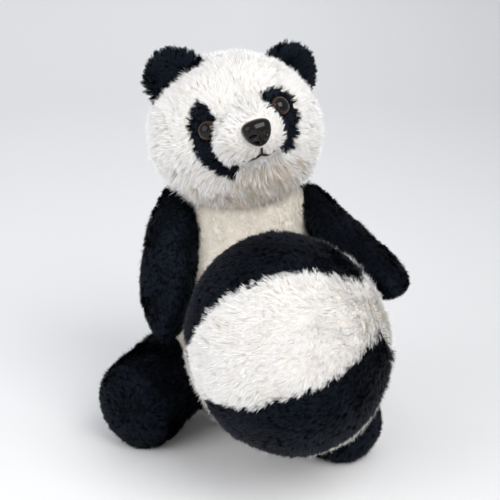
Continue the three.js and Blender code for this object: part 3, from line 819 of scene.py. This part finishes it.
def twisted_thread(line, normals, radius, pitch):
    """Two plies wound round each other along a line."""
    run = np.concatenate([[0], np.cumsum(np.linalg.norm(np.diff(line, axis=0), axis=1))])
    forward = unit(np.gradient(line, axis=0))
    side = unit(np.cross(forward, normals))
    up = np.cross(side, forward)
    around = np.linspace(0, 2 * math.pi, 8, endpoint=False)
    points, faces = [], []
    for ply in (0, math.pi):
        wind = run / pitch * 2 * math.pi + ply
        middle = line + radius * 0.5 * (np.cos(wind)[:, None] * side + np.sin(wind)[:, None] * up)
        ring = np.cos(around)[None, :, None] * side[:, None] + np.sin(around)[None, :, None] * up[:, None]
        first = sum(len(x) for x in points)
        points.append((middle[:, None] + ring * radius * 0.62).reshape(-1, 3))
        a = np.arange(8)
        for i in range(len(line) - 1):
            faces.append(np.stack([first + i * 8 + a, first + i * 8 + (a + 1) % 8,
                                   first + (i + 1) * 8 + (a + 1) % 8, first + (i + 1) * 8 + a], 1))
        faces.append(first + a[None, ::-1])
        faces.append(first + (len(line) - 1) * 8 + a[None])
    return np.concatenate(points), faces


thread = speckled(
    shader("mouth_thread", (0.004, 0.004, 0.005), 0.6), (0.003, 0.003, 0.004), (0.008, 0.007, 0.008), 900,
)
all_points, all_faces = [], []
for part in MOUTH:
    flat = catmull_rom([(*c, 0) for c in part], np.linspace(0, 1, 60))
    guess = on_face(np.stack([flat[:, 0], np.full(60, MUZZLE_CENTRE[1] - 20), flat[:, 1]], 1))
    line = head_surface(unit(guess - HEAD_CENTRE))
    outward = unit(line - on_face(MUZZLE_CENTRE))
    points, faces = twisted_thread(line + outward * 1.3, outward, 0.95, 2.2)
    first = sum(len(x) for x in all_points)
    all_points.append(points)
    all_faces += [f + first for f in faces]
mouth = new_object("mouth_thread", np.concatenate(all_points), all_faces, [thread])
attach(mouth, "head")
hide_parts("mouth_stitching")

# ---------- torso ----------
torso = Form(tube_surface(TORSO, SPHERES[6][0]), SPHERES[6][1])
under_head = lambda p: np.linalg.norm((p - HEAD_CENTRE) / (HEAD_RADII - 3), axis=1) > 1
down = lambda p: np.tile([0.0, 0.0, -1.0], (len(p), 1))
in_front = lambda p: (p[:, 1] < SIDE_SEAM) & (p[:, 2] > SEAT_TOP)
low_back = lambda p: (p[:, 1] >= SIDE_SEAM) & (p[:, 2] <= SHOULDER_BOTTOM) & (p[:, 2] > SEAT_TOP)
at_left = lambda p: p[:, 0] < CENTRE_SEAM
TORSO_PANELS = {
    "belly_left": (lambda p: in_front(p) & at_left(p), SHORT_CREAM, "cream"),
    "belly_right": (lambda p: in_front(p) & ~at_left(p), SHORT_CREAM, "cream"),
    "shoulder_band": (lambda p: (p[:, 1] >= SIDE_SEAM) & (p[:, 2] > SHOULDER_BOTTOM), LIMB_BLACK, "black"),
    "back_left": (lambda p: low_back(p) & at_left(p), LONG_WHITE, "white"),
    "back_right": (lambda p: low_back(p) & ~at_left(p), LONG_WHITE, "white"),
    "seat": (lambda p: p[:, 2] <= SEAT_TOP, LONG_WHITE, "white"),
}
for index, (node, (keep, look, kind)) in enumerate(TORSO_PANELS.items()):
    panel(node, torso, lambda p, k=keep: k(p) & under_head(p), down, look, kind, "torso", 70 + index)

# ---------- limbs ----------
CROSSINGS = {}       # where each limb's cloth and filling bend from the torso's place to the limb's
for index, name in enumerate(("left", "right")):
    limb = ARMS[name]
    form = Form(tube_surface(limb, SPHERES[6][0]), SPHERES[6][1])
    path = np.array(limb["path"], float)
    normal = unit(np.cross(path[3] - path[0], path[2] - path[0]))
    normal = -normal if normal[0] * path[3][0] < 0 else normal
    outer = plane_side(path[1], normal)
    reach = path[1] - path[0]
    crossing = ("torso", f"arm_{name}", tuple(path[0] * MM), tuple((path[0] + reach * 0.8) * MM))
    CROSSINGS[f"arm_{name}"] = crossing
    comb = Spine(limb["path"]).nearest
    panel(
        f"arm_{name}_outer", form, lambda p, o=outer: o(p) > 0, comb,
        LIMB_BLACK, "black", None, 90 + index, blended=crossing,
    )
    panel(
        f"arm_{name}_inner", form, lambda p, o=outer: o(p) <= 0, comb,
        LIMB_BLACK, "black", None, 100 + index, blended=crossing,
    )

    limb = LEGS[name]
    form = Form(tube_surface(limb, SPHERES[6][0]), SPHERES[6][1])
    path = np.array(limb["path"], float)
    direction = unit(path[-1] - path[0])
    sideways = unit(np.cross(direction, [0, 0, 1]))
    sideways = -sideways if sideways[0] * path[-1][0] < 0 else sideways
    outer = plane_side(path[-1], sideways)
    sole = plane_side(path[-1] - direction * SOLE_DEPTH, direction)
    crossing = ("torso", f"leg_{name}", tuple(path[0] * MM), tuple(path[1] * MM))
    CROSSINGS[f"leg_{name}"] = crossing
    comb = Spine(limb["path"]).nearest
    thigh = lambda p, hip=path[1]: 1 + 0.5 * np.exp(-((np.linalg.norm(p - hip, axis=1) / 55) ** 4))
    sole_comb = lambda p, t=path[-1], d=direction: unit(p - t - d * 20)
    panel(
        f"leg_{name}_outer", form, lambda p, o=outer, s=sole: (o(p) > 0) & (s(p) <= 0), comb,
        LIMB_BLACK, "black", None, 110 + index, blended=crossing, length=thigh,
    )
    panel(
        f"leg_{name}_inner", form, lambda p, o=outer, s=sole: (o(p) <= 0) & (s(p) <= 0), comb,
        LIMB_BLACK, "black", None, 120 + index, blended=crossing, length=thigh,
    )
    panel(
        f"sole_{name}", form, lambda p, s=sole: s(p) > 0, sole_comb,
        LIMB_BLACK, "black", f"leg_{name}", 130 + index,
    )


# ---------- stuffing ----------
def stuffing(node, points, faces, body):
    """Loose fibre that fills a cover, with a lumpy surface."""
    shape = Form(points, faces)
    lumps = np.array([noise.noise(Vector(p) * 0.12) for p in shape.points]) * 0.7 - 0.7
    piece = new_object(f"{node}_fill", shape.points + shape.normals * lumps[:, None], [shape.faces], [fibre_fill])
    if body in CROSSINGS:
        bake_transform(piece)
    else:
        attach(piece, body)
    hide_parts(node)


directions, triangles = SPHERES[5]
stuffing("torso_stuffing", tube_surface(TORSO, directions, -3), triangles, "torso")
in_head = HEAD_CENTRE + (head_surface(directions) - HEAD_CENTRE) * 0.955
stuffing("head_stuffing", in_head, triangles, "head")
in_ball = BALL_CENTRE + (ball_surface(directions) - BALL_CENTRE) * 0.955
stuffing("ball_stuffing", in_ball, triangles, "ball")
for name in ("left", "right"):
    stuffing(f"arm_{name}_stuffing", tube_surface(ARMS[name], directions, -3), triangles, f"arm_{name}")
    stuffing(f"leg_{name}_stuffing", tube_surface(LEGS[name], directions, -3), triangles, f"leg_{name}")
low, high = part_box("neck_stuffing")
middle, size = np.array((low + high) / 2) / MM, np.array(high - low) / MM / 2
post = np.sign(directions) * np.abs(directions) ** [0.8, 0.8, 0.5] * size * [0.95, 0.95, 0.98]
stuffing("neck_stuffing", middle + post, triangles, "neck")

# ---------- ball ----------
ball = Form(ball_surface(SPHERES[6][0]), SPHERES[6][1])
ball_front, ball_side, ball_up = ball_basis()


def ball_place(p):
    """Each point's place round the pole, in gores, its distance from the pole's axis and its height."""
    q = p - BALL_CENTRE
    angle = np.arctan2(q @ ball_side, q @ ball_front)
    height = q @ ball_up
    radius = np.linalg.norm(q - height[:, None] * ball_up, axis=1)
    return angle / (2 * math.pi / BALL_GORES), radius, height


def gore_keep(index):
    def keep(p):
        place, radius, _ = ball_place(p)
        return (np.round(place).astype(int) % BALL_GORES == index) & (radius > BALL_CAP_RADIUS)
    return keep


# how far each gore's pile leans over its upper and its lower seam
SEAM_LEAN = {0: (1.7, 0.5), 1: (0.8, 3.0), 2: (2.5, 2.5), 3: (1.0, 1.0), 4: (2.5, 2.5), 5: (3.0, 0.4)}


def gore_comb(index):
    """Along the gore away from the right pole, and out over its seams."""
    def comb(p):
        place, _, _ = ball_place(p)
        off = place - np.round(place)
        over = np.where(off < 0, *SEAM_LEAN[index])
        around = unit(np.cross(ball_up, p - BALL_CENTRE))
        return -ball_up + around * (off * over)[:, None]
    return comb


def gore_length(index):
    """The two white gores beside and behind are trimmed at their seams, and a ridge goes round the right cap."""
    def length(p):
        place, radius, height = ball_place(p)
        from_seam = (0.5 - np.abs(place - np.round(place))) * 2 * math.pi / BALL_GORES * radius
        trimmed = np.clip(0.25 + from_seam / 9, 0.25, 1) if index in (2, 4) else 1
        ridge = 1 + 0.5 * np.exp(-(((radius - BALL_CAP_RADIUS - 3) / 4) ** 2)) * (height > 0)
        return trimmed * ridge
    return length


for index in range(BALL_GORES):
    look, kind = (BALL_BLACK, "black") if index % 2 else (BALL_WHITE, "white")
    panel(
        f"ball_gore_{index + 1}", ball, gore_keep(index), gore_comb(index),
        look, kind, "ball", 140 + index, length=gore_length(index),
    )
for name, side in (("left", -1), ("right", 1)):
    keep = lambda p, s=side: (ball_place(p)[1] <= BALL_CAP_RADIUS) & (ball_place(p)[2] * s > 0)
    comb = lambda p, s=side: unit(p - BALL_CENTRE - ball_up * (s * BALL_RADII[2]))
    panel(f"ball_cap_{name}", ball, keep, comb, BALL_WHITE, "white", "ball", 150 + side)


# ---------- floor, light and camera ----------
def paper_with_painted_shade():
    """Pale paper with painted shade, a little darker towards the right."""
    material = shader("floor_paper", (0.80, 0.81, 0.83), 0.7)
    nodes, links = material.node_tree.nodes, material.node_tree.links
    place = nodes.new("ShaderNodeTexCoord")
    split = nodes.new("ShaderNodeSeparateXYZ")
    spread = nodes.new("ShaderNodeMapRange")
    spread.inputs["From Min"].default_value, spread.inputs["From Max"].default_value = -0.5, 0.5
    # the ramp paints shade: pale at the left and in the middle, darker at the right
    ramp = nodes.new("ShaderNodeValToRGB")
    ramp.color_ramp.elements[0].color = (0.88, 0.885, 0.895, 1)
    ramp.color_ramp.elements[1].color = (0.74, 0.745, 0.755, 1)
    ramp.color_ramp.elements.new(0.5).color = (0.90, 0.905, 0.915, 1)
    links.new(place.outputs["Object"], split.inputs[0])
    links.new(split.outputs["X"], spread.inputs["Value"])
    links.new(spread.outputs["Result"], ramp.inputs["Fac"])
    links.new(ramp.outputs["Color"], nodes["Principled BSDF"].inputs["Base Color"])
    return material


floor_mesh = bpy.data.meshes.new("floor")
bm = bmesh.new()
for depth, height in ((-3.0, 0.0), (1.2, 0.0), (1.7, 0.08), (2.1, 0.4), (2.25, 1.0), (2.25, 4.0)):
    row = [bm.verts.new((x, depth, height)) for x in (-5, 5)]
    if depth > -3:
        bm.faces.new((last[0], last[1], row[1], row[0]))
    last = row
bm.to_mesh(floor_mesh)
bm.free()
floor = bpy.data.objects.new("floor", floor_mesh)
for face in floor_mesh.polygons:
    face.use_smooth = True
floor_mesh.materials.append(paper_with_painted_shade())
bpy.context.scene.collection.objects.link(floor)


def area_light(name, place, target, size, power, colour=(1, 1, 1)):
    light = bpy.data.lights.new(name, "AREA")
    light.size, light.energy, light.color = size, power, colour
    made = bpy.data.objects.new(name, light)
    made.location = place
    made.rotation_euler = (Vector(target) - Vector(place)).to_track_quat("-Z", "Y").to_euler()
    bpy.context.scene.collection.objects.link(made)


area_light("key", (0.75, -1.3, 1.6), (0, -0.05, 0.15), 1.3, 27.5, (1, 0.99, 0.97))
area_light("fill", (-1.4, -1.2, 1.1), (0, -0.05, 0.15), 1.6, 13)
area_light("bounce", (0.1, -1.6, 0.25), (0, -0.05, 0.15), 0.9, 1.6, (1, 0.88, 0.74))
world = bpy.data.worlds.new("studio")
world.use_nodes = True
world.node_tree.nodes["Background"].inputs["Color"].default_value = (0.95, 0.965, 1.0, 1)
world.node_tree.nodes["Background"].inputs["Strength"].default_value = 0.62
bpy.context.scene.world = world
bpy.context.scene.view_settings.view_transform = "Standard"

TARGET, DISTANCE, ELEVATION = Vector((0, -0.030, 0.150)), 1.2, math.radians(18)
camera = bpy.data.objects.new("camera", bpy.data.cameras.new("camera"))
camera.location = TARGET + Vector((0, -math.cos(ELEVATION), math.sin(ELEVATION))) * DISTANCE
camera.rotation_euler = (TARGET - camera.location).to_track_quat("-Z", "Y").to_euler()
camera.data.lens, camera.data.sensor_width = 108, 36
camera.data.clip_start, camera.data.clip_end = 0.05, 30
bpy.context.scene.collection.objects.link(camera)
bpy.context.scene.camera = camera
